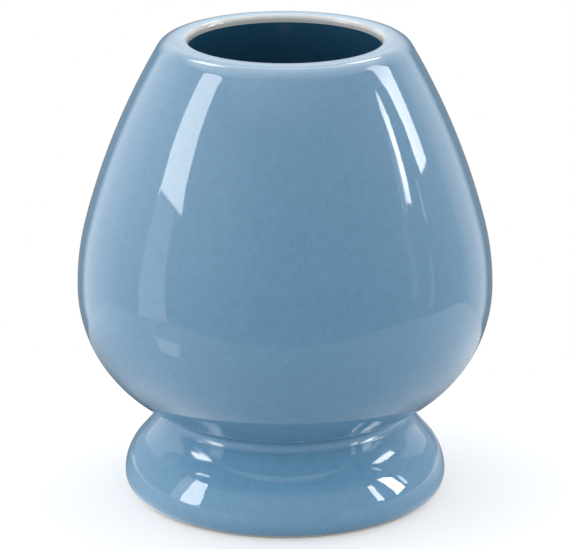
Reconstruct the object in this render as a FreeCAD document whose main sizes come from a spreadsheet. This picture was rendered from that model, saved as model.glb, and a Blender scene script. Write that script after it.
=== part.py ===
import FreeCAD, Part
import math
import os
import Sketcher

# Tea whisk holder: a small hollow vessel with an egg-shaped belly, a pinched neck and a
# spreading foot. It is one fired clay shell that carries three coats of glaze: one outside
# and over the lip, one inside, and one in the hollow under the foot. The clay stays bare on
# the ring that the vessel stands on. Millimetres, +Z up, origin at the centre of the
# standing face.

SIZES = {
    # The whole vessel, over the glaze
    "total_height": 67.4,
    "belly_radius": 30.0,
    "belly_level": 30.95,
    "belly_upper_bend": 37.6,
    "flank_lean_share": 0.697,
    # The lip: an outer round, a level crest, an inner round and a short upright land
    "mouth_radius": 13.8,
    "lip_inner_bend": 0.7,
    "lip_crest_width": 1.34,
    "lip_outer_bend": 2.8,
    "lip_depth": 1.1,
    # The crease where the belly meets the foot
    "neck_radius": 17.85,
    "neck_level": 12.02,
    "neck_bend": 1.15,
    # The foot: a sloping crown, a rounded rim and an edge tucked in to the standing ring
    "foot_crown_bend": 127.0,
    "foot_rim_bend": 7.1,
    "foot_radius": 23.46,
    "foot_level": 2.52,
    "foot_tuck": 1.75,
    "stand_width": 2.4,
    "stand_softening": 0.25,
    # The clay shell and the hollow in it
    "clay_wall": 2.6,
    "floor_thickness": 2.6,
    "foot_pocket_radius": 15.6,
    "floor_bend": 1.5,
    # The hollow under the foot
    "recess_depth": 2.2,
    "recess_bend": 1.2,
    # The coats of glaze, and the height at which they were wiped off the foot
    "glaze_thickness": 0.35,
    "glaze_stop": 0.6,
    # How far a cutting outline runs past the clay
    "overrun": 2.0,
}

QUARTER = math.pi / 2
FULL_TURN_ANGLE = 360


class Size:
    """A size that knows both its number and the expression on the sheet that gives it."""

    def __init__(self, number, text):
        self.number = number
        self.text = text

    def __add__(self, other):
        return Size(self.number + other.number, f"({self.text} + {other.text})")

    def __sub__(self, other):
        return Size(self.number - other.number, f"({self.text} - {other.text})")


def swapped_rules(rules):
    """The rules of a stretch travelled the other way, with its start and end exchanged."""
    names = {"start_on_axis": "end_on_axis", "start_x": "end_x", "start_y": "end_y"}
    names.update({last: first for first, last in names.items()})
    return {names.get(key, key): value for key, value in rules.items()}


class Arc:
    """A round stretch of an outline, travelled from one angle about its centre to another."""

    def __init__(self, centre, radius, first, last, **rules):
        self.centre = centre
        self.radius = radius
        self.first = first
        self.last = last
        self.rules = rules

    def geometry(self):
        circle = Part.Circle(self.centre, FreeCAD.Vector(0, 0, 1), self.radius)
        low, high = sorted((self.first, self.last))
        return Part.ArcOfCircle(circle, low, high)

    def ends(self):
        return (1, 2) if self.first < self.last else (2, 1)

    def turned_back(self):
        return Arc(self.centre, self.radius, self.last, self.first, **swapped_rules(self.rules))


class Line:
    """A straight stretch of an outline."""

    def __init__(self, start, end, **rules):
        self.start = start
        self.end = end
        self.rules = rules

    def geometry(self):
        return Part.LineSegment(self.start, self.end)

    def ends(self):
        return (1, 2)

    def turned_back(self):
        return Line(self.end, self.start, **swapped_rules(self.rules))


def turned_back(run):
    return [stretch.turned_back() for stretch in reversed(run)]


def at(x, y):
    return FreeCAD.Vector(x, y, 0)


def polar(centre, radius, angle):
    return centre + at(radius * math.cos(angle), radius * math.sin(angle))


def direction(vector):
    return math.atan2(vector.y, vector.x)


def make_sheet(document):
    """Write every driving size on the sheet and return them all as Size objects."""
    sheet = document.addObject("Spreadsheet::Sheet", "Sizes")
    sizes = {}
    for row, (name, number) in enumerate(SIZES.items(), start=1):
        sheet.set(f"A{row}", name)
        sheet.set(f"B{row}", str(number))
        sheet.setAlias(f"B{row}", name)
        sizes[name] = Size(number, f"Sizes.{name}")
    return sizes


class Vessel:
    """The centres and joining angles of the arcs that make the outline of the glazed vessel.

    Every coat and wall follows the same centres at its own depth under the outside.
    """

    def __init__(self, sizes):
        self.sizes = sizes
        self.nothing = Size(0, "0")
        self.glaze = sizes["glaze_thickness"]
        self.clay_depth = self.glaze + sizes["clay_wall"]
        self.lining_depth = self.clay_depth + self.glaze
        self.stand_radius = sizes["foot_radius"] - sizes["foot_tuck"]
        self.ring_radius = self.stand_radius - sizes["stand_width"]
        self.mouth_level = sizes["total_height"] - sizes["lip_depth"]
        self.crest_inner = sizes["mouth_radius"] + sizes["lip_inner_bend"]
        self.crest_outer = self.crest_inner + sizes["lip_crest_width"]
        self.floor_level = sizes["recess_depth"] + sizes["floor_thickness"]
        self.place_lip_and_flank()
        self.place_belly_and_neck()
        self.place_foot()

    def number(self, name):
        return self.sizes[name].number

    def place_lip_and_flank(self):
        """The flank leaves the upper belly at its lean and meets the lip's outer round.

        The lean is a share of the slant from the widest level to the crest.
        """
        bend = self.number("belly_upper_bend")
        across = self.sizes["belly_radius"] - self.crest_outer
        rise = self.sizes["total_height"] - self.sizes["belly_level"]
        share = self.sizes["flank_lean_share"]
        self.lean = share.number * math.atan(across.number / rise.number)
        self.lean_size = Size(math.degrees(self.lean), f"{share.text} * atan({across.text} / {rise.text})")
        self.upper_centre = at(self.number("belly_radius") - bend, self.number("belly_level"))
        flank_start = polar(self.upper_centre, bend, self.lean)
        lip_bend = self.number("lip_outer_bend")
        lip_level = self.number("total_height") - lip_bend
        self.lip_centre = at(self.crest_outer.number, lip_level)
        reach = flank_start - self.lip_centre
        outward = reach * polar(at(0, 0), 1, self.lean)
        flank_bend = (reach * reach - lip_bend ** 2) / (2 * (outward - lip_bend))
        self.flank_bend = flank_bend
        self.flank_centre = polar(flank_start, -flank_bend, self.lean)
        self.lip_angle = direction(self.lip_centre - self.flank_centre)

    def place_belly_and_neck(self):
        """The lower belly runs from the widest level into the crease at the neck."""
        neck_bend = self.number("neck_bend")
        belly_radius = self.number("belly_radius")
        neck_radius = self.number("neck_radius")
        self.neck_centre = at(neck_radius + neck_bend, self.number("neck_level"))
        widest = at(belly_radius, self.number("belly_level"))
        reach = self.neck_centre - widest
        lower_bend = (reach * reach - neck_bend ** 2) / (2 * (belly_radius - neck_radius))
        self.lower_bend = lower_bend
        self.lower_centre = at(belly_radius - lower_bend, self.number("belly_level"))
        self.under_angle = direction(self.neck_centre - self.lower_centre)

    def place_foot(self):
        """The crown of the foot touches the crease and the rounded rim."""
        rim_bend = self.number("foot_rim_bend")
        crown_bend = self.number("foot_crown_bend")
        level = self.number("foot_level")
        self.rim_centre = at(self.number("foot_radius") - rim_bend, level)
        across = self.neck_centre - self.rim_centre
        to_rim = crown_bend - rim_bend
        to_neck = crown_bend + self.number("neck_bend")
        along = (to_rim ** 2 - to_neck ** 2 + across * across) / (2 * across.Length)
        aside = math.sqrt(to_rim ** 2 - along ** 2)
        unit = across / across.Length
        self.crown_centre = self.rim_centre + unit * along + at(-unit.y, unit.x) * aside
        self.rim_angle = direction(self.rim_centre - self.crown_centre)
        self.crown_angle = direction(self.neck_centre - self.crown_centre)
        tuck = self.number("foot_tuck")
        self.edge_bend = (tuck ** 2 + level ** 2) / (2 * tuck)
        self.edge_centre = at(self.number("foot_radius") - self.edge_bend, level)

    def edge_angle(self, depth, height):
        """The angle at which the tucked edge, at some depth, stands at a height."""
        return math.asin((height - self.edge_centre.y) / (self.edge_bend - depth.number))

    def foot_side(self, depth):
        """From the widest level of the foot up its rim and crown."""
        size = self.sizes
        rim_bend = size["foot_rim_bend"] - depth
        crown_bend = size["foot_crown_bend"] - depth
        rim = Arc(self.rim_centre, rim_bend.number, 0, self.rim_angle, bend=rim_bend,
                  centre_x=size["foot_radius"] - size["foot_rim_bend"],
                  centre_y=size["foot_level"])
        crown = Arc(self.crown_centre, crown_bend.number, self.rim_angle, self.crown_angle,
                    bend=crown_bend)
        return [rim, crown]

    def belly_side(self, depth, neck_start):
        """From the neck over the lower and upper belly to the start of the flank."""
        size = self.sizes
        neck_bend = size["neck_bend"] + depth
        upper_bend = size["belly_upper_bend"] - depth
        neck = Arc(self.neck_centre, neck_bend.number, neck_start + math.pi,
                   self.under_angle + math.pi, bend=neck_bend,
                   centre_x=size["neck_radius"] + size["neck_bend"],
                   centre_y=size["neck_level"])
        lower = Arc(self.lower_centre, self.lower_bend - depth.number, self.under_angle, 0,
                    centre_y=size["belly_level"])
        upper = Arc(self.upper_centre, upper_bend.number, 0, self.lean, bend=upper_bend,
                    centre_x=size["belly_radius"] - size["belly_upper_bend"],
                    centre_y=size["belly_level"], turn=self.lean_size)
        return [neck, lower, upper]

    def lip_side(self, depth):
        """Up the flank and over the lip's outer round to its crest."""
        size = self.sizes
        lip_bend = size["lip_outer_bend"] - depth
        flank = Arc(self.flank_centre, self.flank_bend - depth.number, self.lean, self.lip_angle)
        lip = Arc(self.lip_centre, lip_bend.number, self.lip_angle, QUARTER, bend=lip_bend,
                  centre_x=self.crest_outer,
                  centre_y=size["total_height"] - size["lip_outer_bend"])
        return [flank, lip]

    def outside(self, depth):
        """The whole outside from the widest level of the foot to the crest of the lip."""
        return self.foot_side(depth) + self.belly_side(depth, self.crown_angle) + self.lip_side(depth)

    def mouth_round(self, depth):
        """The lip's inner round, from its crest to its upright land."""
        size = self.sizes
        bend = size["lip_inner_bend"] - depth
        centre_y = size["total_height"] - size["lip_inner_bend"]
        return Arc(at(self.crest_inner.number, centre_y.number), bend.number, QUARTER, math.pi, bend=bend)

    def land(self, depth):
        """The upright land, from the inner round down to the mouth's sharp edge."""
        size = self.sizes
        x = size["mouth_radius"] + depth
        top = size["total_height"] - size["lip_inner_bend"]
        return Line(at(x.number, top.number), at(x.number, self.mouth_level.number), upright=True)

    def crest(self, depth):
        """The level crest, from the outer round to the inner round."""
        height = (self.sizes["total_height"] - depth).number
        return Line(at(self.crest_outer.number, height), at(self.crest_inner.number, height),
                    level=True)

    def hollow(self, depth, coat):
        """The wall of the inner hollow, from the axis at its floor to the mouth's edge.

        The coat is the thickness of glaze that already covers the clay there.
        """
        size = self.sizes
        bend = size["floor_bend"] - coat
        corner_x = size["foot_pocket_radius"] - size["floor_bend"]
        corner_y = self.floor_level + size["floor_bend"]
        corner = at(corner_x.number, corner_y.number)
        across = self.neck_centre - corner
        both_bends = bend.number + self.number("neck_bend") + depth.number
        slope = direction(across) - math.acos(both_bends / across.Length)
        neck_bend = self.number("neck_bend") + depth.number
        floor = (self.floor_level + coat).number
        mouth_x = size["mouth_radius"] + self.glaze - coat
        lip = at(mouth_x.number, self.mouth_level.number)
        flank_start = polar(self.upper_centre, self.number("belly_upper_bend") - depth.number, self.lean)
        return [
            Line(at(0, floor), at(corner.x, floor), level=True, start_on_axis=True),
            Arc(corner, bend.number, -QUARTER, slope, bend=bend, centre_x=corner_x, centre_y=corner_y),
            Line(polar(corner, bend.number, slope), polar(self.neck_centre, -neck_bend, slope)),
            *self.belly_side(depth, slope),
            self.throat(flank_start, lip, mouth_x),
        ]

    def throat(self, flank_start, lip, mouth_x):
        """The inner flank: it leaves the belly at its lean and ends at the mouth's edge."""
        chord = lip - flank_start
        half_turn = direction(chord) - QUARTER - self.lean
        bend = chord.Length / (2 * math.sin(half_turn))
        centre = polar(flank_start, -bend, self.lean)
        return Arc(centre, bend, self.lean, self.lean + 2 * half_turn, end_x=mouth_x,
                   end_y=self.mouth_level)

    def recess(self, coat):
        """The hollow under the foot, from the axis at its ceiling to its upright side."""
        size = self.sizes
        bend = size["recess_bend"] - coat
        side_x = (self.ring_radius - coat).number
        ceiling = (size["recess_depth"] - coat).number
        centre_x = self.ring_radius - size["recess_bend"]
        centre_y = size["recess_depth"] - size["recess_bend"]
        return [
            Line(at(0, ceiling), at(centre_x.number, ceiling), level=True, start_on_axis=True),
            Arc(at(centre_x.number, centre_y.number), bend.number, QUARTER, 0, bend=bend,
                centre_x=centre_x, centre_y=centre_y),
            Line(at(side_x, centre_y.number), at(side_x, self.number("glaze_stop")), upright=True,
                 end_y=size["glaze_stop"]),
        ]


def new_sketch(body, name):
    """An empty sketch on the body's own XZ plane: across is the radius, up is the height."""
    sketch = body.newObject("Sketcher::SketchObject", name)
    planes = [item for item in body.Origin.OriginFeatures if item.Role == "XZ_Plane"]
    sketch.AttachmentSupport = [(planes[0], "")]
    sketch.MapMode = "FlatFace"
    return sketch


def bind(sketch, kind, references, value, size):
    """Add a dimension to the sketch and drive it from the sheet."""
    index = sketch.addConstraint(Sketcher.Constraint(kind, *references, value))
    sketch.setExpression(f"Constraints[{index}]", size.text)


def apply_rules(sketch, index, stretch):
    """Dimension one stretch of an outline by its rules."""
    start, end = stretch.ends()
    places = {"start": start, "end": end, "centre": 3}
    for rule, size in stretch.rules.items():
        if rule == "bend":
            bind(sketch, "Radius", (index,), size.number, size)
        elif rule == "turn":
            bind(sketch, "Angle", (index,), math.radians(size.number), size)
        elif rule == "level":
            sketch.addConstraint(Sketcher.Constraint("Horizontal", index))
        elif rule == "upright":
            sketch.addConstraint(Sketcher.Constraint("Vertical", index))
        elif rule.endswith("_on_axis"):
            place = places[rule.split("_")[0]]
            sketch.addConstraint(Sketcher.Constraint("PointOnObject", index, place, -2))
        else:
            place, axis = rule.split("_")
            kind = "DistanceX" if axis == "x" else "DistanceY"
            bind(sketch, kind, (-1, 1, index, places[place]), size.number, size)


def draw_outline(sketch, runs):
    """Draw a closed outline: stretches meet smoothly inside a run and at a corner between runs.

    Returns the sketch's number for each stretch, run by run.
    """
    numbers = []
    flat = []
    for run in runs:
        numbers.append([])
        for place, stretch in enumerate(run):
            index = sketch.addGeometry(stretch.geometry(), False)
            numbers[-1].append(index)
            flat.append((index, stretch, place > 0))
    for (index, stretch, smooth), (before, previous, _) in zip(flat, flat[-1:] + flat[:-1]):
        joint = "Tangent" if smooth else "Coincident"
        ends = (before, previous.ends()[1], index, stretch.ends()[0])
        sketch.addConstraint(Sketcher.Constraint(joint, *ends))
    for index, stretch, _ in flat:
        apply_rules(sketch, index, stretch)
    return numbers


def put_circle_through(sketch, index, x, y):
    """Make the circle of an arc pass through a helper point given by two sizes."""
    point = sketch.addGeometry(Part.Point(at(x.number, y.number)), True)
    bind(sketch, "DistanceX", (-1, 1, point, 1), x.number, x)
    bind(sketch, "DistanceY", (-1, 1, point, 1), y.number, y)
    sketch.addConstraint(Sketcher.Constraint("PointOnObject", point, 1, index))


def share_centre(sketch, first, second):
    sketch.addConstraint(Sketcher.Constraint("Coincident", first, 3, second, 3))


def turn_outline(body, name, sketch, cutting=False):
    """Turn an outline about the vessel's axis, as a solid or as a cut."""
    kind = "PartDesign::Groove" if cutting else "PartDesign::Revolution"
    feature = body.newObject(kind, name)
    feature.Profile = sketch
    feature.ReferenceAxis = (sketch, ["V_Axis"])
    feature.Angle = FULL_TURN_ANGLE
    return feature


def axis_line(start, end):
    return Line(at(0, start), at(0, end), upright=True)


def make_clay_body(document, vessel):
    """The clay shell: a turned outside, the hollow inside it and the recess under the foot."""
    size = vessel.sizes
    body = document.addObject("PartDesign::Body", "clay_body")
    draw_clay_outside(new_sketch(body, "clay_outside"), vessel)
    turn_outline(body, "clay_solid", body.Group[-1])
    draw_clay_hollow(new_sketch(body, "clay_hollow"), vessel)
    turn_outline(body, "clay_hollow_cut", body.Group[-1], cutting=True)
    draw_clay_recess(new_sketch(body, "clay_recess"), vessel)
    cut = turn_outline(body, "clay_recess_cut", body.Group[-1], cutting=True)
    document.recompute()
    standing_edges = [f"Edge{number}" for number, edge in enumerate(cut.Shape.Edges, start=1)
                      if abs(edge.BoundBox.ZMax) < vessel.glaze.number / 2]
    softening = body.newObject("PartDesign::Fillet", "stand_softening")
    softening.Base = (cut, standing_edges)
    softening.setExpression("Radius", size["stand_softening"].text)
    return body


def draw_clay_outside(sketch, vessel):
    """The outside of the clay: bare and full at the standing ring, one coat deep above it."""
    size = vessel.sizes
    glaze = vessel.glaze
    stop = size["glaze_stop"]
    stand = vessel.stand_radius
    foot_angle = vessel.edge_angle(vessel.nothing, 0)
    bare_top = vessel.edge_angle(vessel.nothing, stop.number)
    coated_start = vessel.edge_angle(glaze, stop.number)
    coated_bend = vessel.edge_bend - glaze.number
    ledge_ends = (polar(vessel.edge_centre, vessel.edge_bend, bare_top),
                  polar(vessel.edge_centre, coated_bend, coated_start))
    crest = (size["total_height"] - glaze).number
    runs = [
        [Line(at(0, 0), at(stand.number, 0), end_x=stand)],
        [Arc(vessel.edge_centre, vessel.edge_bend, foot_angle, bare_top)],
        [Line(*ledge_ends, level=True, start_y=stop)],
        [Arc(vessel.edge_centre, coated_bend, coated_start, 0), *vessel.outside(glaze),
         Line(at(vessel.lip_centre.x, crest), at(0, crest), level=True)],
        [axis_line(crest, 0)],
    ]
    numbers = draw_outline(sketch, runs)
    standing_face, bare_edge, coated_edge = numbers[0][0], numbers[1][0], numbers[3][0]
    share_centre(sketch, bare_edge, coated_edge)
    bind(sketch, "DistanceY", (-1, 1, coated_edge, 3), size["foot_level"].number, size["foot_level"])
    put_circle_through(sketch, bare_edge, size["foot_radius"], size["foot_level"])
    sketch.addConstraint(Sketcher.Constraint("Coincident", standing_face, 1, -1, 1))
    sketch.addConstraint(Sketcher.Constraint("Horizontal", standing_face))


def draw_clay_hollow(sketch, vessel):
    """The hollow cut into the clay, open at the mouth, with the clay side of the lip's round."""
    size = vessel.sizes
    glaze = vessel.glaze
    above = size["total_height"] + size["overrun"]
    crest_end = vessel.crest(glaze).end
    runs = [
        vessel.hollow(vessel.clay_depth, vessel.nothing),
        turned_back([vessel.mouth_round(glaze), vessel.land(glaze)]),
        [Line(crest_end, at(crest_end.x, above.number), upright=True, end_y=above)],
        [Line(at(crest_end.x, above.number), at(0, above.number), level=True)],
        [axis_line(above.number, vessel.floor_level.number)],
    ]
    numbers = draw_outline(sketch, runs)
    round_centre = size["total_height"] - size["lip_inner_bend"]
    bind(sketch, "DistanceY", (-1, 1, numbers[1][1], 3), round_centre.number, round_centre)
    sketch.addConstraint(Sketcher.Constraint("Vertical", numbers[1][1], 3, numbers[2][0], 1))


def draw_clay_recess(sketch, vessel):
    """The recess cut under the foot, inside the standing ring."""
    size = vessel.sizes
    below = vessel.nothing - size["overrun"]
    run = vessel.recess(vessel.nothing)
    side_x = vessel.ring_radius.number
    run[-1] = Line(run[-1].start, at(side_x, below.number), upright=True, end_y=below)
    runs = [
        run,
        [Line(at(side_x, below.number), at(0, below.number), level=True)],
        [axis_line(below.number, size["recess_depth"].number)],
    ]
    draw_outline(sketch, runs)


def make_outer_glaze(document, vessel):
    """The coat outside: from the wiped foot up over the lip to the mouth's edge."""
    size = vessel.sizes
    stop = size["glaze_stop"]
    body = document.addObject("PartDesign::Body", "outer_glaze")
    sketch = new_sketch(body, "outer_coat")

    def face(depth):
        start = vessel.edge_angle(depth, stop.number)
        edge = Arc(vessel.edge_centre, vessel.edge_bend - depth.number, start, 0, start_y=stop)
        return [edge, *vessel.outside(depth), vessel.crest(depth), vessel.mouth_round(depth),
                vessel.land(depth)]

    shown = face(vessel.nothing)
    hidden = turned_back(face(vessel.glaze))
    stop_line = Line(polar(hidden[-1].centre, hidden[-1].radius, hidden[-1].last),
                     polar(shown[0].centre, shown[0].radius, shown[0].first))
    runs = [shown, [Line(shown[-1].end, hidden[0].start)], hidden, [stop_line]]
    shown[-1].rules.update(end_x=size["mouth_radius"], end_y=vessel.mouth_level)
    hidden[0].rules.update(start_x=size["mouth_radius"] + vessel.glaze, start_y=vessel.mouth_level)
    numbers = draw_outline(sketch, runs)
    share_centre(sketch, numbers[0][0], numbers[2][-1])
    put_circle_through(sketch, numbers[0][0], vessel.stand_radius, vessel.nothing)
    bind(sketch, "DistanceY", (-1, 1, numbers[0][0], 3), size["foot_level"].number, size["foot_level"])
    turn_outline(body, "outer_coat_turned", sketch)
    return body


def make_inner_glaze(document, vessel):
    """The coat inside: the floor, the neck and the belly, up to the mouth's edge."""
    body = document.addObject("PartDesign::Body", "inner_glaze")
    sketch = new_sketch(body, "inner_coat")
    hidden = vessel.hollow(vessel.clay_depth, vessel.nothing)
    shown = turned_back(vessel.hollow(vessel.lining_depth, vessel.glaze))
    edge = [at(stretch.rules[rule].number, vessel.mouth_level.number)
            for stretch, rule in ((hidden[-1], "end_x"), (shown[0], "start_x"))]
    runs = [hidden, [Line(*edge)], shown,
            [Line(shown[-1].end, hidden[0].start)]]
    draw_outline(sketch, runs)
    turn_outline(body, "inner_coat_turned", sketch)
    return body


def make_recess_glaze(document, vessel):
    """The coat in the recess under the foot: its ceiling, corner and side."""
    body = document.addObject("PartDesign::Body", "recess_glaze")
    sketch = new_sketch(body, "recess_coat")
    hidden = vessel.recess(vessel.nothing)
    shown = turned_back(vessel.recess(vessel.glaze))
    runs = [hidden, [Line(hidden[-1].end, shown[0].start)], shown,
            [Line(shown[-1].end, hidden[0].start)]]
    draw_outline(sketch, runs)
    turn_outline(body, "recess_coat_turned", sketch)
    return body


def check_objects(document):
    """Stop if any object of the document failed."""
    for item in document.Objects:
        if "Invalid" in item.State or "Error" in item.State:
            raise RuntimeError(f"{item.Label} failed: {item.State}")
        if item.isDerivedFrom("Sketcher::SketchObject") and not item.FullyConstrained:
            print(f"{item.Label} isn't fully dimensioned")


def write_parts(bodies):
    """Check each piece's shape and write it to its own file."""
    os.makedirs("parts", exist_ok=True)
    for body in bodies:
        shape = body.Shape
        if shape.isNull() or not shape.isValid() or not shape.Solids:
            raise RuntimeError(f"{body.Label} has no sound solid")
        print(f"{body.Label}: {len(shape.Solids)} solid, volume {shape.Volume:.1f}")
    for body in bodies:
        body.Shape.exportStep(f"parts/{body.Label}.step")


document = FreeCAD.newDocument("whisk_holder")
vessel = Vessel(make_sheet(document))
bodies = [make(document, vessel)
          for make in (make_clay_body, make_outer_glaze, make_inner_glaze, make_recess_glaze)]
document.recompute()
check_objects(document)
write_parts(bodies)
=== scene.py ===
import math
import bmesh
import bpy
import numpy as np
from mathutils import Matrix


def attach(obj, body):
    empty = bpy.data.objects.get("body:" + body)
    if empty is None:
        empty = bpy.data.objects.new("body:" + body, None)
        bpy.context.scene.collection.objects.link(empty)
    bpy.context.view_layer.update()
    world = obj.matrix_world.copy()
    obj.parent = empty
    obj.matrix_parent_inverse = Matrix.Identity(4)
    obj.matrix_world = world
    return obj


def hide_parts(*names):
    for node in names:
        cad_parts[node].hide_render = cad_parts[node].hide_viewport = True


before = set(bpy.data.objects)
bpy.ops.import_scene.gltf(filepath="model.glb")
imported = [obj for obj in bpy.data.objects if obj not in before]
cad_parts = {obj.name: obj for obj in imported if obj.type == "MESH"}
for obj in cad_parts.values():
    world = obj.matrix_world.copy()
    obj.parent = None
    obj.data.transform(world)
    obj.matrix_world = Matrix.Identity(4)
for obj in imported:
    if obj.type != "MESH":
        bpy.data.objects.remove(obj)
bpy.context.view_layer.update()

# The outer coat of glaze
# A blue glaze, sprayed on the clay and fired glossy. It runs from the wiped foot up over the
# belly and the lip, and ends on the short upright land inside the mouth. Sizes are in mm.
MM = 0.001
COAT = 0.35
GLAZE_STOP = 0.6
TOTAL_HEIGHT = 67.4
BELLY_RADIUS = 30.0
BELLY_LEVEL = 30.95
BELLY_UPPER_BEND = 37.6
FLANK_LEAN_SHARE = 0.697
MOUTH_RADIUS = 13.8
LIP_INNER_BEND = 0.7
LIP_CREST_WIDTH = 1.34
LIP_OUTER_BEND = 2.8
LIP_DEPTH = 1.1
LAND_SLANT = 3
NECK_RADIUS = 17.85
NECK_LEVEL = 12.02
NECK_BEND = 1.15
FOOT_CROWN_BEND = 127.0
FOOT_RIM_BEND = 7.1
FOOT_RADIUS = 23.46
FOOT_LEVEL = 2.52
FOOT_TUCK = 1.75
CREST_OUTER = MOUTH_RADIUS + LIP_INNER_BEND + LIP_CREST_WIDTH
FINE_STEP = math.radians(1.3)
COARSE_STEP = math.radians(6)
BEAD_STEP = math.radians(20)
TURNS = 240
WELD_DISTANCE = 1e-7
SHARP_ANGLE = math.radians(50)


def toward(angle):
    """The unit step in a direction, as radius and height."""
    return np.array([math.cos(angle), math.sin(angle)])


def direction(step):
    """The angle of a step, from straight outwards."""
    return math.atan2(step[1], step[0])


def arc(centre, bend, first, last, step=FINE_STEP):
    """Points on a circle: the centre plus the bend times the unit step, angle by angle."""
    count = max(3, math.ceil(abs(last - first) / step) + 1)
    angle = np.linspace(first, last, count)
    return centre + bend * np.stack([np.cos(angle), np.sin(angle)], axis=1)


def run(*stretches):
    """Stretches of an outline joined end to end; each later one leaves out its first point."""
    kept = [stretches[0]]
    for stretch in stretches[1:]:
        kept.append(stretch[1:])
    return np.concatenate(kept)


def belly_and_lip():
    """Centres, bends and joining angles of the upper belly, the flank and the lip.

    The flank's circle touches the upper belly's circle at the lean and the lip's circle.
    """
    slant = math.atan((BELLY_RADIUS - CREST_OUTER) / (TOTAL_HEIGHT - BELLY_LEVEL))
    lean = FLANK_LEAN_SHARE * slant
    upper = np.array([BELLY_RADIUS - BELLY_UPPER_BEND, BELLY_LEVEL])
    start = upper + BELLY_UPPER_BEND * toward(lean)
    lip = np.array([CREST_OUTER, TOTAL_HEIGHT - LIP_OUTER_BEND])
    reach = start - lip
    bend = (reach @ reach - LIP_OUTER_BEND ** 2) / (2 * (reach @ toward(lean) - LIP_OUTER_BEND))
    flank = start - bend * toward(lean)
    return upper, lean, flank, bend, lip, direction(lip - flank)


def neck_and_foot():
    """Centres, bends and joining angles of the lower belly, the neck, the crown and the rim.

    The lower belly and the crown touch the neck's circle, and the crown touches the rim's.
    """
    neck = np.array([NECK_RADIUS + NECK_BEND, NECK_LEVEL])
    reach = neck - np.array([BELLY_RADIUS, BELLY_LEVEL])
    bend = (reach @ reach - NECK_BEND ** 2) / (2 * (BELLY_RADIUS - NECK_RADIUS))
    lower = np.array([BELLY_RADIUS - bend, BELLY_LEVEL])
    rim = np.array([FOOT_RADIUS - FOOT_RIM_BEND, FOOT_LEVEL])
    across = neck - rim
    length = math.hypot(*across)
    to_rim = FOOT_CROWN_BEND - FOOT_RIM_BEND
    along = (to_rim ** 2 - (FOOT_CROWN_BEND + NECK_BEND) ** 2 + length ** 2) / (2 * length)
    aside = math.sqrt(to_rim ** 2 - along ** 2)
    unit = across / length
    crown = rim + unit * along + np.array([-unit[1], unit[0]]) * aside
    return lower, bend, neck, crown, rim


def wiped_edge():
    """Centre and bend of the foot's tucked edge, and the angle at which the glaze stops.

    Its circle is upright at the foot's level and has come in by the tuck at the table.
    """
    bend = (FOOT_TUCK ** 2 + FOOT_LEVEL ** 2) / (2 * FOOT_TUCK)
    centre = np.array([FOOT_RADIUS - bend, FOOT_LEVEL])
    stop = math.asin((GLAZE_STOP + COAT / 2 - FOOT_LEVEL) / (bend - COAT / 2))
    return centre, bend, stop


def shown_side(depth, step):
    """The outside of the vessel at a depth under its surface, from the wiped foot to the land.

    Tight arcs take longer steps, and the flat flank takes half steps. The land's end falls by
    the depth over its slant.
    """
    upper, lean, flank, flank_bend, lip, lip_angle = belly_and_lip()
    lower, lower_bend, neck, crown, rim = neck_and_foot()
    edge, edge_bend, stop = wiped_edge()
    under = direction(neck - lower)
    crown_angle = direction(neck - crown)
    rim_angle = direction(rim - crown)
    inner_round = np.array([MOUTH_RADIUS + LIP_INNER_BEND, TOTAL_HEIGHT - LIP_INNER_BEND])
    land = np.array([[MOUTH_RADIUS + depth, TOTAL_HEIGHT - LIP_INNER_BEND],
                     [MOUTH_RADIUS + depth, TOTAL_HEIGHT - LIP_DEPTH - depth / LAND_SLANT]])
    return run(
        arc(edge, edge_bend - depth, stop, 0, step),
        arc(rim, FOOT_RIM_BEND - depth, 0, rim_angle, step),
        arc(crown, FOOT_CROWN_BEND - depth, rim_angle, crown_angle, step),
        arc(neck, NECK_BEND + depth, crown_angle + math.pi, under + math.pi, step),
        arc(lower, lower_bend - depth, under, 0, step),
        arc(upper, BELLY_UPPER_BEND - depth, 0, lean, step),
        arc(flank, flank_bend - depth, lean, lip_angle, step / 2),
        arc(lip, LIP_OUTER_BEND - depth, lip_angle, math.pi / 2, step * 2),
        arc(inner_round, LIP_INNER_BEND - depth, math.pi / 2, math.pi, step * 4),
        land,
    )


def stop_bead():
    """The rolled end of the coat above the wiped clay: half a circle, one coat across."""
    edge, edge_bend, stop = wiped_edge()
    middle = edge + (edge_bend - COAT / 2) * toward(stop)
    return arc(middle, COAT / 2, stop - math.pi, stop, BEAD_STEP)


def placed(name, data):
    """A mesh or a camera as an object in the scene."""
    piece = bpy.data.objects.new(name, data)
    bpy.context.collection.objects.link(piece)
    return piece


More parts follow.
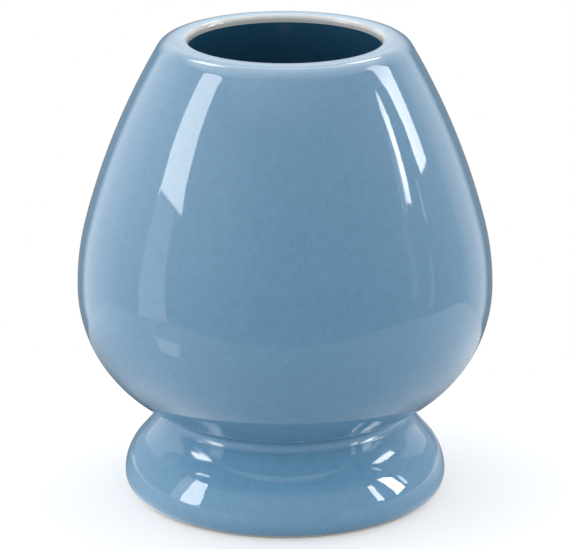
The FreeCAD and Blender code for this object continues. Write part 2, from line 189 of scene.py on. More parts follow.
def turned(name, outline, **traits):
    """A surface of revolution: each outline point turned about the axis by equal angles.

    A trait is one number for each outline point, kept on the mesh for the material.
    """
    angle = np.linspace(0, 2 * math.pi, TURNS, endpoint=False)
    radius, height = outline.T * MM
    places = np.stack([np.outer(np.cos(angle), radius), np.outer(np.sin(angle), radius),
                       np.tile(height, (TURNS, 1))], axis=2)
    count = len(outline)
    turn, point = np.meshgrid(np.arange(TURNS), np.arange(count), indexing="ij")
    next_turn = (turn + 1) % TURNS
    next_point = (point + 1) % count
    corners = np.stack([turn * count + point, next_turn * count + point,
                        next_turn * count + next_point, turn * count + next_point], axis=2)
    mesh = bpy.data.meshes.new(name)
    mesh.from_pydata(places.reshape(-1, 3), [], corners.reshape(-1, 4).tolist())
    for trait, values in traits.items():
        layer = mesh.attributes.new(trait, "FLOAT", "POINT")
        layer.data.foreach_set("value", np.tile(values, TURNS).astype(np.float32))
    solid = bmesh.new()
    solid.from_mesh(mesh)
    bmesh.ops.remove_doubles(solid, verts=solid.verts, dist=WELD_DISTANCE)
    bmesh.ops.recalc_face_normals(solid, faces=solid.faces)
    solid.to_mesh(mesh)
    solid.free()
    mesh.shade_smooth()
    mesh.set_sharp_from_angle(angle=SHARP_ANGLE)
    return placed(name, mesh)


CREST_THINNESS = 0.32
CREST_START = 0.9
CREST_FADE = 1.7
LAND_START = 0.15
LAND_FADE = 0.5
LAND_END_FADE = 0.3
FOOT_LIGHT_FADE = 1.6
POOL_REACH = 2.0


def thinness_at(outline):
    """How thin the glaze is: nothing below the lip, a little on its crest, full on the land."""
    radius, height = outline.T
    over = np.clip((CREST_OUTER + CREST_START - radius) / CREST_FADE, 0, 1)
    inward = np.clip((MOUTH_RADIUS + LIP_INNER_BEND + LAND_START - radius) / LAND_FADE, 0, 1)
    above_end = height - (TOTAL_HEIGHT - LIP_DEPTH)
    high = np.clip((above_end + LAND_END_FADE) / LAND_END_FADE, 0, 1)
    return high * np.maximum(CREST_THINNESS * over ** 2, inward)


def spread_at(outline):
    """The share of painted light on the glaze: full on the foot and at the neck, nothing on the
    belly.
    """
    return np.clip((NECK_LEVEL + FOOT_LIGHT_FADE - outline[:, 1]) / FOOT_LIGHT_FADE, 0, 1)


def pooling_at(outline):
    """How thick the glaze has run: full in the crease of the neck, fading a short way off."""
    away = np.hypot(outline[:, 0] - (NECK_RADIUS + NECK_BEND), outline[:, 1] - NECK_LEVEL)
    return np.clip(1 - (away - NECK_BEND) / POOL_REACH, 0, 1)


shown = shown_side(0, FINE_STEP)
hidden = shown_side(COAT, COARSE_STEP)
outer_outline = np.concatenate([stop_bead()[1:-1], shown, hidden[::-1]])
outer_coat = turned("outer_coat", outer_outline, thinness=thinness_at(outer_outline),
                    pooling=pooling_at(outer_outline), spread=spread_at(outer_outline))

CLOUD_SCALE = 120
MOTTLE_SCALE = 900
MOTTLE_DETAIL = 3.0
GRAIN_SCALE = 2400
GRAIN_DETAIL = 1.0
THICK_BLUE = (0.090, 0.210, 0.332)
DEEP_BLUE = (0.086, 0.206, 0.330)
# The foot's blue is painted light: lighter than the belly's, standing in for the light on the foot
# and neck.
FOOT_LIT_BLUE = (0.109, 0.247, 0.386)
CREST_BLUE = (0.165, 0.315, 0.450)
LAND_GREY = (0.440, 0.450, 0.445)
# The hollow's blue is painted shade: the same glaze, darkened for the dim inside of the vessel.
HOLLOW_SHADE_BLUE = (0.028, 0.118, 0.212)
CLOUD_DEPTH = 0.35
CREST_GAIN = 3.0
LAND_FROM = 0.33
MOTTLE_CONTRAST = 0.20
GRAIN_CONTRAST = 0.15
LEAST_SPECKLE = 0.825
LEAST_GLOSS_BLUR = 0.03
CLOUD_GLOSS_BLUR = 0.03
POOL_GLOSS_BLUR = 0.09
GLASS_INDEX = 1.5
RIPPLE_MOTTLE = 0.08
RIPPLE_HEIGHT = 0.000012


def add_node(tree, kind, **inputs):
    """A node of a kind, with its plain inputs set and its linked inputs joined."""
    node = tree.nodes.new(kind)
    for name, value in inputs.items():
        socket = node.inputs[name.replace("_", " ")]
        if isinstance(value, bpy.types.NodeSocket):
            tree.links.new(value, socket)
        else:
            socket.default_value = value
    return node


def math_node(tree, operation, *values):
    """A maths node whose inputs are plain numbers or other nodes' outputs."""
    node = tree.nodes.new("ShaderNodeMath")
    node.operation = operation
    for socket, value in zip(node.inputs, values):
        if isinstance(value, (int, float)):
            socket.default_value = value
        else:
            tree.links.new(value, socket)
    return node.outputs["Value"]


def product(tree, *values):
    """Values multiplied together, from the first to the last."""
    result = values[0]
    for value in values[1:]:
        result = math_node(tree, "MULTIPLY", result, value)
    return result


def added(tree, *values):
    """Values added together, from the first to the last."""
    result = values[0]
    for value in values[1:]:
        result = math_node(tree, "ADD", result, value)
    return result


def opposite(tree, share):
    """One less a share."""
    return math_node(tree, "SUBTRACT", 1.0, share)


def mixed(tree, share, first, second, blend="MIX"):
    """Two colours mixed by a share; each is a plain colour or another node's output.

    The mix node keeps its two colours at places 6 and 7, and the mixed colour at 2.
    """
    node = tree.nodes.new("ShaderNodeMix")
    node.data_type = "RGBA"
    node.blend_type = blend
    for place, value in ((0, share), (6, first), (7, second)):
        if isinstance(value, bpy.types.NodeSocket):
            tree.links.new(value, node.inputs[place])
        elif isinstance(value, tuple):
            node.inputs[place].default_value = (*value, 1)
        else:
            node.inputs[place].default_value = value
    return node.outputs[2]


def grey(tree, value):
    """A colour with the same value in red, green and blue."""
    node = add_node(tree, "ShaderNodeCombineColor", Red=value, Green=value, Blue=value)
    return node.outputs["Color"]


def noise(tree, places, scale, detail=2.0):
    """A cloudy pattern between 0 and 1, its patches one over the scale metres across."""
    node = add_node(tree, "ShaderNodeTexNoise", Vector=places, Scale=scale, Detail=detail)
    return node.outputs["Fac"]


def trait(tree, name):
    """A number kept on each point of the mesh."""
    node = tree.nodes.new("ShaderNodeAttribute")
    node.attribute_name = name
    return node.outputs["Fac"]


def object_places(tree):
    """Each shaded point's place in the piece's own coordinates, in metres."""
    return tree.nodes.new("ShaderNodeTexCoord").outputs["Object"]


glaze = bpy.data.materials.new("blue_glaze")
glaze.use_nodes = True
tree = glaze.node_tree
shader = tree.nodes["Principled BSDF"]
places = object_places(tree)
clouds = noise(tree, places, CLOUD_SCALE)
mottle = noise(tree, places, MOTTLE_SCALE, MOTTLE_DETAIL)
grain = noise(tree, places, GRAIN_SCALE, GRAIN_DETAIL)
thinness = trait(tree, "thinness")
pooling = trait(tree, "pooling")
blue = mixed(tree, pooling, THICK_BLUE, DEEP_BLUE)
blue = mixed(tree, product(tree, clouds, CLOUD_DEPTH), blue, DEEP_BLUE)
# The foot and the neck are painted a lighter blue: painted light.
blue = mixed(tree, trait(tree, "spread"), blue, FOOT_LIT_BLUE)
# Inside the hollow the glaze is painted darker: painted shade.
blue = mixed(tree, trait(tree, "hollow"), blue, HOLLOW_SHADE_BLUE)
over_crest = mixed(tree, product(tree, thinness, CREST_GAIN), blue, CREST_BLUE)
past_crest = math_node(tree, "SUBTRACT", thinness, LAND_FROM)
land_share = math_node(tree, "DIVIDE", past_crest, 1 - LAND_FROM)
land_share = math_node(tree, "MAXIMUM", land_share, 0.0)
glaze_colour = mixed(tree, land_share, over_crest, LAND_GREY)
speckle = added(tree, product(tree, mottle, MOTTLE_CONTRAST),
                product(tree, grain, GRAIN_CONTRAST), LEAST_SPECKLE)
glaze_colour = mixed(tree, 1.0, glaze_colour, grey(tree, speckle), "MULTIPLY")
tree.links.new(glaze_colour, shader.inputs["Base Color"])
gloss_blur = added(tree, product(tree, clouds, CLOUD_GLOSS_BLUR), LEAST_GLOSS_BLUR,
                   product(tree, pooling, POOL_GLOSS_BLUR))
tree.links.new(gloss_blur, shader.inputs["Roughness"])
shader.inputs["IOR"].default_value = GLASS_INDEX
ripple = added(tree, clouds, product(tree, mottle, RIPPLE_MOTTLE))
ripple = product(tree, ripple, opposite(tree, pooling))
bump = add_node(tree, "ShaderNodeBump", Strength=1.0, Distance=RIPPLE_HEIGHT, Height=ripple)
tree.links.new(bump.outputs["Normal"], shader.inputs["Normal"])
outer_coat.data.materials.append(glaze)
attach(outer_coat, "root")
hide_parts("outer_glaze")

# The inner coat of glaze
# The same glaze, poured in and swilled round. It covers the floor, the neck and the belly
# inside, and ends at the mouth's edge. Its colour is painted darker all over: painted shade.
CLAY_WALL = 2.6
FLOOR_THICKNESS = 2.6
FLOOR_MIDDLE = 6
FLOOR_BEND = 1.5
FOOT_POCKET_RADIUS = 15.6
RECESS_DEPTH = 2.2


def led_by(start, stretch):
    """A stretch with the point that it is joined from put before it."""
    return np.concatenate([[start], stretch])


def hollow_side(depth, coat, step):
    """The wall of the hollow at a depth under the outside, from the floor's middle to the mouth.

    A straight line touches the floor's corner and the neck's circle; the last circle leaves
    the belly at its lean and ends at the mouth's edge.
    """
    upper, lean = belly_and_lip()[:2]
    lower, lower_bend, neck = neck_and_foot()[:3]
    floor = RECESS_DEPTH + FLOOR_THICKNESS
    middle = np.array([FLOOR_MIDDLE, floor + coat])
    corner = np.array([FOOT_POCKET_RADIUS - FLOOR_BEND, floor + FLOOR_BEND])
    bend = FLOOR_BEND - coat
    neck_bend = NECK_BEND + depth
    across = neck - corner
    slope = direction(across) - math.acos((bend + neck_bend) / math.hypot(*across))
    under = direction(neck - lower)
    start = upper + (BELLY_UPPER_BEND - depth) * toward(lean)
    chord = np.array([MOUTH_RADIUS + COAT - coat, TOTAL_HEIGHT - LIP_DEPTH]) - start
    half_turn = direction(chord) - math.pi / 2 - lean
    throat_bend = math.hypot(*chord) / (2 * math.sin(half_turn))
    throat = start - throat_bend * toward(lean)
    return run(
        np.array([[0, floor + coat], middle]),
        led_by(middle, arc(corner, bend, -math.pi / 2, slope, step * 3)),
        led_by(corner + bend * toward(slope),
               arc(neck, neck_bend, slope + math.pi, under + math.pi, step)),
        arc(lower, lower_bend - depth, under, 0, step),
        arc(upper, BELLY_UPPER_BEND - depth, 0, lean, step),
        arc(throat, throat_bend, lean, lean + 2 * half_turn, step),
    )


lining = hollow_side(2 * COAT + CLAY_WALL, COAT, FINE_STEP)
lining_back = hollow_side(COAT + CLAY_WALL, 0, COARSE_STEP)
inner_outline = np.concatenate([lining, lining_back[::-1]])
# The whole lining carries the hollow's painted shade.
inner_coat = turned("inner_coat", inner_outline, hollow=np.ones(len(inner_outline)))
inner_coat.data.materials.append(glaze)
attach(inner_coat, "root")
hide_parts("inner_glaze")

# The recess coat of glaze
# The same glaze again, on the ceiling and the side of the shallow hollow under the foot. It
# stops short of the standing ring, which is wiped so that the foot doesn't stick in the kiln.
STAND_WIDTH = 2.4
RECESS_BEND = 1.2
CEILING_MIDDLE = 9
RECESS_POOLING = 0.5


def recess_side(coat, step):
    """The hollow under the foot: its ceiling from the axis, a round corner and an upright side."""
    side = FOOT_RADIUS - FOOT_TUCK - STAND_WIDTH
    middle = np.array([CEILING_MIDDLE, RECESS_DEPTH - coat])
    centre = np.array([side - RECESS_BEND, RECESS_DEPTH - RECESS_BEND])
    return run(
        np.array([[0, RECESS_DEPTH - coat], middle]),
        led_by(middle, arc(centre, RECESS_BEND - coat, math.pi / 2, 0, step)),
        np.array([[side - coat, centre[1]], [side - coat, GLAZE_STOP]]),
    )


recess_front = recess_side(COAT, FINE_STEP * 4)
recess_back = recess_side(0, COARSE_STEP)
recess_outline = np.concatenate([recess_front, recess_back[::-1]])
recess_coat = turned("recess_coat", recess_outline,
                     pooling=np.full(len(recess_outline), RECESS_POOLING))
recess_coat.data.materials.append(glaze)
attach(recess_coat, "root")
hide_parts("recess_glaze")

# The clay body
# Thrown and trimmed stoneware. It shows only where the glaze was wiped off: the standing ring
# and the narrow bare edge above it, warm grey and dry, and darker in patches at the very bottom.
SAND_SCALE = 1700
SAND_DETAIL = 3.0
PATCH_SCALE = 160
SPECK_SCALE = 2600
SPECK_DETAIL = 1.0
SPECK_LIMIT = 0.66
SPECK_STRENGTH = 0.75
PALE_CLAY = (0.560, 0.545, 0.515)
GREY_CLAY = (0.430, 0.420, 0.398)
SPECK_BROWN = (0.150, 0.120, 0.100)
BOTTOM_GREY = (0.230, 0.225, 0.215)
BOTTOM_DARK_HEIGHT = 0.0002
LEAST_DRYNESS = 0.72
SAND_DRYNESS = 0.2
GRIT_STRENGTH = 0.8
GRIT_HEIGHT = 0.00006

clay = bpy.data.materials.new("bare_clay")
clay.use_nodes = True
tree = clay.node_tree
clay_shader = tree.nodes["Principled BSDF"]
places = object_places(tree)
sand = noise(tree, places, SAND_SCALE, SAND_DETAIL)
patches = noise(tree, places, PATCH_SCALE)
specks = noise(tree, places, SPECK_SCALE, SPECK_DETAIL)
clay_colour = mixed(tree, sand, GREY_CLAY, PALE_CLAY)
speck_share = product(tree, math_node(tree, "GREATER_THAN", specks, SPECK_LIMIT), SPECK_STRENGTH)
clay_colour = mixed(tree, speck_share, clay_colour, SPECK_BROWN)
height = add_node(tree, "ShaderNodeSeparateXYZ", Vector=places).outputs["Z"]
# The lowest fifth of a millimetre is darker, in patches, fading out upwards.
low_share = opposite(tree, math_node(tree, "DIVIDE", height, BOTTOM_DARK_HEIGHT))
low_dark = product(tree, math_node(tree, "MAXIMUM", low_share, 0.0), patches)
clay_colour = mixed(tree, low_dark, clay_colour, BOTTOM_GREY)
tree.links.new(clay_colour, clay_shader.inputs["Base Color"])
dryness = added(tree, product(tree, sand, SAND_DRYNESS), LEAST_DRYNESS)
tree.links.new(dryness, clay_shader.inputs["Roughness"])
grit = add_node(tree, "ShaderNodeBump", Strength=GRIT_STRENGTH, Distance=GRIT_HEIGHT, Height=sand)
tree.links.new(grit.outputs["Normal"], clay_shader.inputs["Normal"])
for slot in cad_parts["clay_body"].material_slots:
    slot.material = clay

# The table
# A white matt board with rounded sides. Its far and near parts look brighter or darker in the
# glaze, as the real table did, by a painted glow and a painted shadow that only the gloss sees;
# straight on it is simply white, and it keeps the shadow.
BOARD_HALF_WIDTH = 162
BOARD_FRONT = 129
BOARD_BACK = 47
BOARD_CORNERS = 180
BACK_POWER = 0.4
FRONT_POWER = 0.8
BOARD_WHITE = 0.76
BOARD_ROUGHNESS = 0.8
CAMERA_LIFT = 0.22
SEEN_WHITES = [(-180, 0.5), (-150, 0.55), (-130, 0.75), (-100, 0.85), (0, 0.8), (100, 0.85),
               (130, 0.75), (150, 0.55), (180, 0.5)]
SEEN_LIFTS = [(-180, 0), (-142, 0.05), (-130, 0.45), (-120, 0.8), (-105, 0.95), (-85, 0.95),
              (-60, 1.0), (-45, 0.75), (-20, 0.3), (0, 0.08), (20, 0.06), (45, 0.24), (60, 0.4),
              (75, 0.66), (90, 0.75), (110, 0.72), (120, 0.5), (130, 0.25), (140, 0), (180, 0)]
BEHIND_TURNS = (60.0, 125.0)
NEAR_REACH = (0.024, 0.110)
NEAR_SHADE = 0.9
RIGHT_TURNS = (60.0, 100.0)
RIGHT_STRETCH = 0.6
BESIDE_TURNS = (50.0, 90.0)
CLOSE_REACH = (0.026, 0.036)
CLOSE_SHADE = 0.45


def board_outline(count):
    """A rounded board: the cosine and the sine of each angle, each raised to a power.

    The power is smaller at the back, which makes that side fuller.
    """
    angle = np.linspace(0, 2 * math.pi, count, endpoint=False)
    power = np.where(np.sin(angle) > 0, BACK_POWER, FRONT_POWER)
    across = np.sign(np.cos(angle)) * np.abs(np.cos(angle)) ** power
    along = np.sign(np.sin(angle)) * np.abs(np.sin(angle)) ** power
    middle = (BOARD_BACK - BOARD_FRONT) / 2
    half = (BOARD_BACK + BOARD_FRONT) / 2
    return MM * np.stack([BOARD_HALF_WIDTH * across, middle + half * along, 0 * angle], axis=1)


def curve_node(tree, value, points, top=1):
    """A curve through points, read at a value from the first point's to the last point's.

    The curve keeps its heights as shares of the top, and the top multiplies them back.
    """
    low = points[0][0]
    span = points[-1][0] - low
    scaled = math_node(tree, "DIVIDE", math_node(tree, "SUBTRACT", value, low), span)
    node = tree.nodes.new("ShaderNodeFloatCurve")
    curve = node.mapping.curves[0]
    node.mapping.use_clip = False
    places = [((x - low) / span, y / top) for x, y in points]
    curve.points[0].location = places[0]
    curve.points[1].location = places[-1]
    for place in places[1:-1]:
        curve.points.new(*place)
    for point in curve.points:
        point.handle_type = "VECTOR"
    node.mapping.update()
    tree.links.new(scaled, node.inputs["Value"])
    if top == 1:
        return node.outputs["Value"]
    return product(tree, node.outputs["Value"], float(top))


def soft_step(tree, value, low, high):
    """A share that goes softly from 0 to 1 as the value goes from low to high."""
    node = tree.nodes.new("ShaderNodeMapRange")
    node.interpolation_type = "SMOOTHSTEP"
    tree.links.new(value, node.inputs["Value"])
    node.inputs["From Min"].default_value = low
    node.inputs["From Max"].default_value = high
    return node.outputs["Result"]


def in_degrees(tree, angle):
    """An angle in degrees instead of radians."""
    return product(tree, angle, 180 / math.pi)


def turn_angle(tree, parts):
    """The turn about the axis in degrees: 0 towards the front, more towards the right."""
    back = product(tree, parts.outputs["Y"], -1.0)
    return in_degrees(tree, math_node(tree, "ARCTAN2", parts.outputs["X"], back))


def size_of(tree, value):
    """A value without its sign."""
    return math_node(tree, "ABSOLUTE", value)


board_mesh = bpy.data.meshes.new("board")
board_mesh.from_pydata(board_outline(BOARD_CORNERS), [], [list(range(BOARD_CORNERS))])
board = placed("board", board_mesh)
board_paint = bpy.data.materials.new("board_paint")
board_paint.use_nodes = True
tree = board_paint.node_tree
paint = tree.nodes["Principled BSDF"]
path = tree.nodes.new("ShaderNodeLightPath")
places = object_places(tree)
turned_by = turn_angle(tree, add_node(tree, "ShaderNodeSeparateXYZ", Vector=places))
length = add_node(tree, "ShaderNodeVectorMath", Vector=places)
length.operation = "LENGTH"
away = length.outputs["Value"]
# Near and behind the holder, and close beside it, the gloss sees the board darker: painted shadow.
to_right = soft_step(tree, turned_by, *RIGHT_TURNS)
reach = product(tree, away, added(tree, product(tree, to_right, RIGHT_STRETCH), 1.0))
behind = soft_step(tree, size_of(tree, turned_by), *BEHIND_TURNS)
near = opposite(tree, soft_step(tree, reach, *NEAR_REACH))
beside = soft_step(tree, size_of(tree, turned_by), *BESIDE_TURNS)
close = opposite(tree, soft_step(tree, away, *CLOSE_REACH))
gloss_unshadowed_share = product(tree, opposite(tree, product(tree, behind, near, NEAR_SHADE)),
                     opposite(tree, product(tree, beside, close, CLOSE_SHADE)))
# In the gloss the board's white follows its turn, darker towards the back.
seen_white = product(tree, curve_node(tree, turned_by, SEEN_WHITES), gloss_unshadowed_share)
drop = math_node(tree, "SUBTRACT", BOARD_WHITE, seen_white)
drop = product(tree, path.outputs["Is Glossy Ray"], drop)
board_white = math_node(tree, "SUBTRACT", BOARD_WHITE, drop)
tree.links.new(grey(tree, board_white), paint.inputs["Base Color"])
# The gloss also sees a painted glow on the board, brightest at its sides: painted light.
seen_lift = product(tree, gloss_unshadowed_share, curve_node(tree, turned_by, SEEN_LIFTS))
seen_lift = product(tree, path.outputs["Is Glossy Ray"], seen_lift)
lift = added(tree, seen_lift, product(tree, path.outputs["Is Camera Ray"], CAMERA_LIFT))
tree.links.new(lift, paint.inputs["Emission Strength"])
paint.inputs["Emission Color"].default_value = (1, 1, 1, 1)
paint.inputs["Roughness"].default_value = BOARD_ROUGHNESS
paint.inputs["Specular IOR Level"].default_value = 0.0
board_mesh.materials.append(board_paint)

# The light tent
# A closed round of cloth that gives the even studio light; the camera looks through it. Its
# gloss side shows the real studio's brightness, and a plain level lights everything else.
TENT_RADIUS = 0.9
TENT_ROWS = 33
TENT_COLUMNS = 64
SEEN_GAIN = 4.0
LEVEL_SHARES = [(-90, 0.20), (-10, 0.20), (-3, 0.18), (4, 0.187), (12, 0.215), (20, 0.235),
                (30, 0.305), (38, 0.355), (44, 0.49), (50, 0.68), (65, 0.81), (80, 1.02),
                (90, 1.12)]
SIDE_LEVELS = [(-180, 2.3), (-130, 2.4), (-112, 2.6), (-104, 2.45), (-90, 2.45), (-77, 2.3),
               (-60, 2.0), (-45, 1.8), (-30, 1.5), (-15, 1.15), (0, 1.0), (15, 0.96),
               (30, 0.98), (45, 1.06), (60, 1.22), (75, 1.45), (100, 1.5), (115, 1.55),
               (121, 2.0), (135, 2.1), (180, 2.3)]
SIDE_TOP = 4
BEND_SHARES = [(-90, 0.75), (-11, 0.75), (-4, 1.0), (4, 1.1), (20, 1.1), (28, 0.8), (36, 0.48),
               (46, 0.55), (55, 0.42), (65, 0.30), (80, 0.14), (90, 0.0)]
DARK_TURNS = (139.0, 151.0)
DARK_HEIGHTS = (4.0, 29.0)
DARK_SHADE = 0.83
PLAIN_LEVELS = [(-90, 1.3), (0, 0.95), (15, 1.9), (30, 2.0), (45, 1.35), (60, 0.8), (90, 0.6)]
PLAIN_SIDES = [(-180, 0.8), (-120, 1.14), (-80, 1.45), (-45, 1.02), (0, 0.62), (45, 0.68),
               (80, 1.13), (120, 1.25), (180, 0.8)]
PLAIN_TOP = 2


def open_round(name, radius, height, columns):
    """A surface of revolution without ends: each row's radius and height, turned equal angles.

    The rows go from the lowest up, so the faces point towards the axis.
    """
    turn = np.linspace(0, 2 * math.pi, columns, endpoint=False)
    places = np.stack([np.outer(radius, np.cos(turn)), np.outer(radius, np.sin(turn)),
                       np.outer(height, np.ones(columns))], axis=2)
    row, column = np.meshgrid(np.arange(len(radius) - 1), np.arange(columns), indexing="ij")
    beside = (column + 1) % columns
    corners = np.stack([row * columns + column, (row + 1) * columns + column,
                        (row + 1) * columns + beside, row * columns + beside], axis=2)
    mesh = bpy.data.meshes.new(name)
    mesh.from_pydata(places.reshape(-1, 3), [], corners.reshape(-1, 4).tolist())
    return mesh


tilt = np.linspace(-math.pi / 2, math.pi / 2, TENT_ROWS)
tent_mesh = open_round("light_tent", TENT_RADIUS * np.cos(tilt), TENT_RADIUS * np.sin(tilt),
                       TENT_COLUMNS)
tent = placed("light_tent", tent_mesh)
tent.visible_camera = False
tent.visible_shadow = False
cloth = bpy.data.materials.new("tent_cloth")
cloth.use_nodes = True
tree = cloth.node_tree
tree.nodes.remove(tree.nodes["Principled BSDF"])
glow = tree.nodes.new("ShaderNodeEmission")
tree.links.new(glow.outputs["Emission"], tree.nodes["Material Output"].inputs["Surface"])
path = tree.nodes.new("ShaderNodeLightPath")
seen = math_node(tree, "MAXIMUM", path.outputs["Is Glossy Ray"],
                 path.outputs["Is Transmission Ray"])
parts = add_node(tree, "ShaderNodeSeparateXYZ", Vector=object_places(tree))
height_share = math_node(tree, "DIVIDE", parts.outputs["Z"], TENT_RADIUS)
raised = in_degrees(tree, math_node(tree, "ARCSINE", height_share))
turned_by = turn_angle(tree, parts)
side = curve_node(tree, turned_by, SIDE_LEVELS, SIDE_TOP)
side_rise = product(tree, math_node(tree, "SUBTRACT", side, 1.0),
                    curve_node(tree, raised, BEND_SHARES))
seen_level = product(tree, curve_node(tree, raised, LEVEL_SHARES),
                     added(tree, side_rise, 1.0), SEEN_GAIN)
dark = product(tree, soft_step(tree, size_of(tree, turned_by), *DARK_TURNS),
               opposite(tree, soft_step(tree, raised, *DARK_HEIGHTS)), DARK_SHADE)
seen_level = product(tree, seen_level, opposite(tree, dark), seen)
plain_level = product(tree, curve_node(tree, raised, PLAIN_LEVELS, PLAIN_TOP),
                      curve_node(tree, turned_by, PLAIN_SIDES, PLAIN_TOP),
                      opposite(tree, seen))
tree.links.new(added(tree, seen_level, plain_level), glow.inputs["Strength"])
tent.data.materials.append(cloth)

# The light cards
# Flat lit sheets that show only in the gloss: strips at the left and right of the tent, lamps
# behind and above, and small ones under the shade that give the foot its highlights. Each has
# its brightness, one for all or one for each corner, and its corners.
LEFT = -450
RIGHT = 450
FAR_CARDS = [
    (10.3, [(LEFT, -53, 158), (LEFT, -215, 176), (LEFT, -200, 210), (LEFT, -196, 263),
            (LEFT, -192, 299), (LEFT, -203, 368), (LEFT, -212, 400), (LEFT, -238, 445),
            (LEFT, -76, 401), (LEFT, -52, 316), (LEFT, -39, 261), (LEFT, -37, 211),
            (LEFT, -47, 169), (LEFT, -42, 146)]),
    (3.0, [(LEFT, -44, 150), (LEFT, -52, -90), (LEFT, -214, -90), (LEFT, -170, 166),
           (LEFT, -52, 154)]),
    ([13.0, 10.0, 10.0, 10.5, 10.5, 13.5, 14.0, 14.0],
     [(RIGHT, 52, 143), (RIGHT, 124, 137), (RIGHT, 130, 159), (RIGHT, 135, 200),
      (RIGHT, 139, 237), (RIGHT, 41, 254), (RIGHT, 55, 205), (RIGHT, 49, 171)]),
    ([13.5, 10.5, 8.6, 7.8, 8.2, 10.0],
     [(RIGHT, 41, 254), (RIGHT, 139, 237), (RIGHT, 177, 396), (RIGHT, 250, 560),
      (RIGHT, 70, 550), (RIGHT, 0, 310)]),
    ([12.0, 15.0, 20.0, 21.0, 21.0, 15.0, 6.0, 10.0, 14.0, 21.0, 22.0, 15.0],
     [(RIGHT, -88, 152), (RIGHT, -60, 143), (RIGHT, -47, 169), (RIGHT, -37, 211),
      (RIGHT, -31, 245), (RIGHT, -35, 275), (RIGHT, -42, 296), (RIGHT, -56, 296),
      (RIGHT, -66, 278), (RIGHT, -67, 228), (RIGHT, -70, 205), (RIGHT, -78, 180)]),
    (5.0, [(RIGHT, -99, 144), (RIGHT, -92, 146), (RIGHT, -78, 215), (RIGHT, -74, 262),
           (RIGHT, -80, 230)]),
    (3.4, [(RIGHT, -120, 146), (RIGHT, -111, 146), (RIGHT, -92, 235), (RIGHT, -96, 235)]),
    (3.2, [(RIGHT, 2, 100), (RIGHT, 14, 150), (RIGHT, 4, 152), (RIGHT, -8, 112)]),
    (1.7, [(RIGHT, -60, -46), (RIGHT, -38, -46), (RIGHT, -14, 72), (RIGHT, -30, 72)]),
    (1.5, [(RIGHT, -160, -8), (RIGHT, -120, -8), (RIGHT, -104, 140), (RIGHT, -124, 154),
           (RIGHT, -146, 140)]),
    (12.5, [(-210, 258, 343), (-177, 265, 358), (-150, 275, 372), (-132, 243, 395),
            (-137, 161, 437), (-151, 173, 427), (-193, 166, 411), (-199, 219, 379)]),
    (8.5, [(77, 292, 374), (67, 342, 324), (80, 351, 310), (138, 329, 314), (143, 302, 341),
           (114, 289, 365)]),
    (6.2, [(-118, 236, 405), (118, 236, 405), (126, 196, 428), (-126, 196, 428)]),
]
TABLE_CARDS = [
    (3.4, [(-104, -45, 1), (-82, -65, 1), (-55, -46, 1), (-68, -38, 1)]),
]
FOOT_CARDS = [
    (12.5, [(-25.2, -18.6, 18.5), (-22.3, -22.5, 19.2), (-36.1, -32.9, 15.7),
            (-91.1, -62.9, 2.0), (-91.6, -47.1, 1.8), (-89.5, -32.9, 2.4),
            (-35.4, -22.6, 15.9)]),
    (2.9, [(-27.5, -15.5, 17.9), (-25.3, -18.5, 18.4), (-35.7, -22.5, 15.8),
           (-89.4, -32.2, 2.4), (-95, -20, 1.0), (-41.7, -18.0, 14.3)]),
    (11.0, [(-24.5, -17.2, 18.6), (-22.8, -19.0, 19.1), (-21.2, -20.7, 19.4),
            (-21.5, -20.9, 19.4), (-23.2, -19.2, 19.0), (-24.7, -17.6, 18.6)]),
    (20.0, [(26.0, -18.0, 18.3), (26.7, -16.9, 18.1), (28.0, -15.4, 17.8),
            (30.3, -14.0, 17.2), (38.2, -13.9, 15.2), (55.3, -11.7, 10.9),
            (60.7, -15.9, 9.6), (69.6, -21.0, 7.4), (37.3, -19.7, 15.4)]),
    (9.0, [(32.2, -11.9, 16.7), (34.5, -11.0, 16.1), (40.2, -10.4, 14.7),
           (50.6, -8.8, 12.1), (47.6, -11.0, 12.9), (37.6, -12.3, 15.4)]),
    (15.0, [(26.0, -23.6, 18.2), (26.4, -21.7, 18.2), (37.5, -26.1, 15.4),
            (68.1, -33.9, 7.7), (60.5, -37.6, 9.6), (35.5, -28.6, 15.9)]),
    (9.0, [(23.6, -16.6, 18.8), (24.9, -15.7, 18.5), (26.3, -14.9, 18.2),
           (26.4, -15.1, 18.1), (25.0, -16.0, 18.5), (23.7, -16.8, 18.8)]),
    (16.0, [(-24.7, -11.2, 18.6), (-22.7, -13.8, 19.1), (-19.9, -16.9, 19.8),
            (-20.4, -16.9, 19.6), (-19.5, -18.5, 19.9), (-21.8, -16.3, 19.3),
            (-23.8, -13.8, 18.8)]),
    (14.0, [(27.5, -7.8, 17.9), (29.1, -6.4, 17.5), (27.5, -10.2, 17.9),
            (25.6, -13.6, 18.4), (23.4, -15.9, 18.9), (24.8, -13.0, 18.6)]),
    ([1.2, 1.45, 1.65, 1.7, 1.65, 1.65, 1.6, 1.4, 1.2, 1.1, 1.1],
     [(-34.0, 45.0, 16.3), (-29.5, 14.0, 17.4), (-26.3, -5.0, 18.2), (-26.7, -10.0, 18.1),
      (-31.0, -3.1, 17.0), (-34.6, -0.7, 16.1), (-37.0, 5.5, 15.5), (-41.4, 19.2, 14.4),
      (-53.6, 54.7, 11.4), (-76.0, 125.0, 5.8), (-56.0, 125.0, 10.8)]),
    (1.4, [(91.4, 180.9, 1.9), (51.6, 48.3, 11.8), (39.8, 10.9, 14.8), (33.8, -1.6, 16.3),
           (30.9, -5.4, 17.0), (32.4, 1.5, 16.6), (32.1, 6.5, 16.7)]),
]


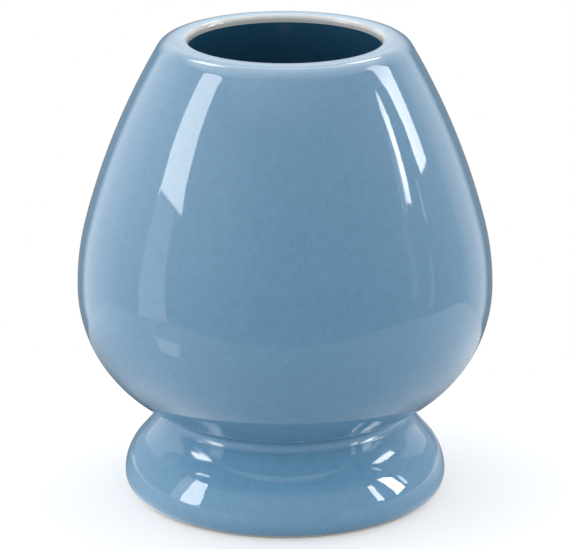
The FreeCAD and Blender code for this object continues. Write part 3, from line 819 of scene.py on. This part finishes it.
def lit_material(name, strength_of, one_sided):
    """A plain light; where it is one-sided, its back is clear."""
    material = bpy.data.materials.new(name)
    material.use_nodes = True
    tree = material.node_tree
    tree.nodes.remove(tree.nodes["Principled BSDF"])
    light = add_node(tree, "ShaderNodeEmission", Strength=strength_of(tree))
    surface = light.outputs["Emission"]
    if one_sided:
        back = tree.nodes.new("ShaderNodeNewGeometry").outputs["Backfacing"]
        clear = tree.nodes.new("ShaderNodeBsdfTransparent").outputs["BSDF"]
        mix = tree.nodes.new("ShaderNodeMixShader")
        for socket, source in zip(mix.inputs, (back, surface, clear)):
            tree.links.new(source, socket)
        surface = mix.outputs["Shader"]
    tree.links.new(surface, tree.nodes["Material Output"].inputs["Surface"])
    return material


def card_strength(tree):
    """The brightness kept on the card."""
    return trait(tree, "brightness")


def hang_lights(mesh, strength_of, one_sided):
    """A lit sheet that only gloss can see, with the name of its mesh."""
    mesh.materials.append(lit_material(mesh.name, strength_of, one_sided))
    sheet = placed(mesh.name, mesh)
    sheet.visible_camera = False
    sheet.visible_diffuse = False
    sheet.visible_shadow = False


def cards_mesh(name, cards, facing_down):
    """Flat sheets in one mesh, each with its brightness on its corners.

    Where they face down, a sheet that would face up has its corners' order turned round.
    """
    mesh = bpy.data.meshes.new(name)
    corners, faces, brightness = [], [], []
    for level, outline in cards:
        sheet = np.array(outline)
        levels = np.broadcast_to(level, len(sheet))
        sides = np.roll(sheet, -1, axis=0) - sheet
        normal = np.cross(sides, sheet.mean(axis=0) - sheet).sum(axis=0)
        if facing_down and normal[2] > 0:
            sheet, levels = sheet[::-1], levels[::-1]
        faces.append(list(range(len(corners), len(corners) + len(sheet))))
        corners.extend(sheet * MM)
        brightness.extend(levels)
    mesh.from_pydata(corners, [], faces)
    layer = mesh.attributes.new("brightness", "FLOAT", "POINT")
    layer.data.foreach_set("value", brightness)
    return mesh


hang_lights(cards_mesh("far_cards", FAR_CARDS, False), card_strength, False)
hang_lights(cards_mesh("table_cards", TABLE_CARDS, False), card_strength, False)
hang_lights(cards_mesh("foot_cards", FOOT_CARDS, True), card_strength, True)

# The shade round the foot
# A low cone of cloth, lit only on its underside, which the foot alone sees. It gives the
# foot the soft dark band under its shoulder and the thin light line above it.
SHADE_TOP = (30.2, 26.27)
SHADE_END = (100.0, 3.0)
SHADE_ROWS = 3
SHADE_COLUMNS = 96
SHADE_LEVELS = [(3, 1.0), (22.2, 1.02), (22.9, 0.92), (23.6, 0.72), (24.4, 0.45), (25.0, 0.28),
                (25.6, 0.12), (25.85, 0.12), (26.0, 1.1), (27, 1.1)]
SHADE_SIDES = [(-180, 0.3), (-150, 0.5), (-125, 0.85), (-105, 1.05), (-60, 1.15), (-30, 1.1),
               (0, 0.95), (30, 0.85), (60, 0.82), (90, 0.85), (120, 0.7), (150, 0.5), (180, 0.3)]
SHADE_BRIGHTEST = 2


def shade_strength(tree):
    """The shade's brightness by its height and its turn."""
    parts = add_node(tree, "ShaderNodeSeparateXYZ", Vector=object_places(tree))
    height = product(tree, parts.outputs["Z"], 1 / MM)
    return product(tree, curve_node(tree, height, SHADE_LEVELS, SHADE_BRIGHTEST),
                   curve_node(tree, turn_angle(tree, parts), SHADE_SIDES, SHADE_BRIGHTEST))


shade_radius, shade_height = MM * np.linspace(SHADE_END, SHADE_TOP, SHADE_ROWS).T
shade_mesh = open_round("foot_shade", shade_radius, shade_height, SHADE_COLUMNS)
hang_lights(shade_mesh, shade_strength, True)

# The world and the camera
# The world is white where the camera or the gloss sees it, and a little lower as plain light.
# The camera stands at the photograph's distance and looks down on the holder at its angle.
PLAIN_SKY = 0.8
TARGET_HEIGHT = 0.03219
CAMERA_DISTANCE = 0.5065
CAMERA_PITCH = math.radians(17.9)
LENS_LENGTH = 221.05
SENSOR_WIDTH = 36
FARTHEST = 20

world = bpy.data.worlds.new("studio")
bpy.context.scene.world = world
world.use_nodes = True
tree = world.node_tree
background = tree.nodes["Background"]
background.inputs["Color"].default_value = (1, 1, 1, 1)
path = tree.nodes.new("ShaderNodeLightPath")
seen = math_node(tree, "MAXIMUM", path.outputs["Is Glossy Ray"],
                 path.outputs["Is Transmission Ray"])
seen = math_node(tree, "MAXIMUM", seen, path.outputs["Is Camera Ray"])
sky = added(tree, product(tree, seen, 1 - PLAIN_SKY), PLAIN_SKY)
tree.links.new(sky, background.inputs["Strength"])

lens = bpy.data.cameras.new("camera")
lens.lens = LENS_LENGTH
lens.sensor_width = SENSOR_WIDTH
lens.clip_end = FARTHEST
camera = placed("camera", lens)
camera.location = (0, -CAMERA_DISTANCE * math.cos(CAMERA_PITCH),
                   TARGET_HEIGHT + CAMERA_DISTANCE * math.sin(CAMERA_PITCH))
camera.rotation_euler = (math.pi / 2 - CAMERA_PITCH, 0, 0)
bpy.context.scene.camera = camera
bpy.context.scene.view_settings.view_transform = "Standard"
